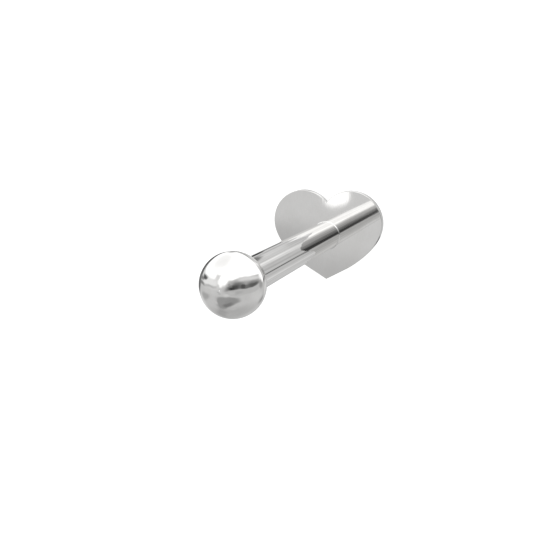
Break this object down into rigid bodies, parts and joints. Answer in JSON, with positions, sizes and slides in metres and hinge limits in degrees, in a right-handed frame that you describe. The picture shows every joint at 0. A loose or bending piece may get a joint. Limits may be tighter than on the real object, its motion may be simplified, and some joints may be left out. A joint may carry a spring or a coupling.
{
  "type": "labret stud",
  "caption": "Straight body-piercing stud: a flat heart back plate soldered to a round tube post, and a polished ball end whose pin pulls out of the post.",
  "frame": {"origin": "on the post's axis, at the back face of the heart plate, which is what the stud stands on", "axes": "+Z along the post towards the ball; +Y from the heart's tip towards its notch; +X across the lobes"},
  "size_m": [0.0048, 0.0038, 0.0102],
  "materials": {
    "heart_post_steel": "mirror-polished surgical steel post on a finely polished plate",
    "ball_steel": "mirror-polished surgical steel"
  },
  "bodies": {
    "post": {"heart_post": "heart_post_steel"},
    "ball": {"ball_end": "ball_steel"}
  },
  "joints": [
    {"name": "ball_pull", "type": "slide", "parent": "post", "child": "ball", "axis": [0, 0, 1], "range_m": [0, 0.012]}
  ]
}
